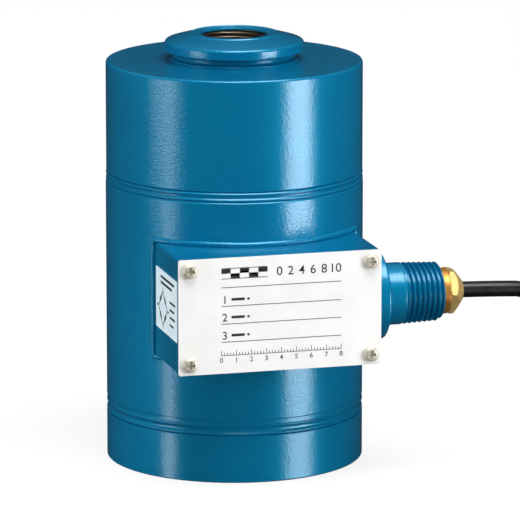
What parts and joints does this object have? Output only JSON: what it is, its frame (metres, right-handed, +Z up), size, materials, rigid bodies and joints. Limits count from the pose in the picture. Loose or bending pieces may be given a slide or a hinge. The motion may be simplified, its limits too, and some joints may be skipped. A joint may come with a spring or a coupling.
{
  "type": "cylindrical load cell",
  "caption": "Canister load cell with a crowned, tapped load button, a grooved round case, a side junction box and a gland with a coiled lead.",
  "frame": {"origin": "centre of the base's underside, on the load axis", "axes": "+Z up along the load axis, the junction box faces -Y, and the cable leaves along +X"},
  "size_m": [0.2487, 0.1064, 0.1486],
  "materials": {
    "blue_enamel": "gloss stoving enamel on turned steel",
    "machined_steel": "turned alloy steel, lightly oiled",
    "satin_aluminium": "satin anodised sheet",
    "screw_steel": "bright zinc-plated steel",
    "label_film": "satin printed film",
    "gland_brass": "dull tarnished brass",
    "nut_brass": "turned bright brass",
    "cable_jacket": "semi-gloss extruded jacket",
    "seal_rubber": "moulded nitrile rubber",
    "gauge_film": "polyimide film with foil",
    "board_laminate": "glass-epoxy laminate with solder mask",
    "resistor_lacquer": "lacquered bobbin",
    "tinned_copper": "tinned copper",
    "tie_nylon": "moulded nylon",
    "sleeve_film": "shrunk polyolefin sleeve",
    "insulation_red": "extruded insulation",
    "insulation_white": "extruded insulation",
    "insulation_green": "extruded insulation",
    "insulation_black": "extruded insulation"
  },
  "bodies": {
    "root": {"load_button": "blue_enamel", "load_column": "machined_steel", "strain_gauges": "gauge_film", "upper_cap": "blue_enamel", "neck_seal": "seal_rubber", "upper_diaphragm": "blue_enamel", "case_tube": "blue_enamel", "lower_diaphragm": "blue_enamel", "base_cap": "blue_enamel", "junction_box": "blue_enamel", "box_weld": "blue_enamel", "plate_gasket": "seal_rubber", "name_plate": "satin_aluminium", "plate_screws": "screw_steel", "side_label": "label_film", "nipple_flange": "blue_enamel", "nipple_weld": "blue_enamel", "conduit_nipple": "blue_enamel", "gland_body": "gland_brass", "gland_bush": "seal_rubber", "gland_nut": "nut_brass", "cable_inner": "cable_jacket", "cable_cores": "insulation_white", "terminal_board": "board_laminate", "board_standoffs": "screw_steel", "board_screws": "screw_steel", "terminal_pins": "tinned_copper", "trim_resistors": "resistor_lacquer", "wire_grommet": "seal_rubber", "gauge_loom": "insulation_white", "lead_cable": "cable_jacket", "cable_coil": "cable_jacket", "coil_ties": "tie_nylon", "cable_tail": "cable_jacket", "cable_sleeve": "sleeve_film", "core_tips": "tinned_copper", "core_red": "insulation_red", "core_white": "insulation_white", "shield_drain": "tinned_copper", "core_green": "insulation_green", "core_black": "insulation_black"}
  },
  "joints": []
}
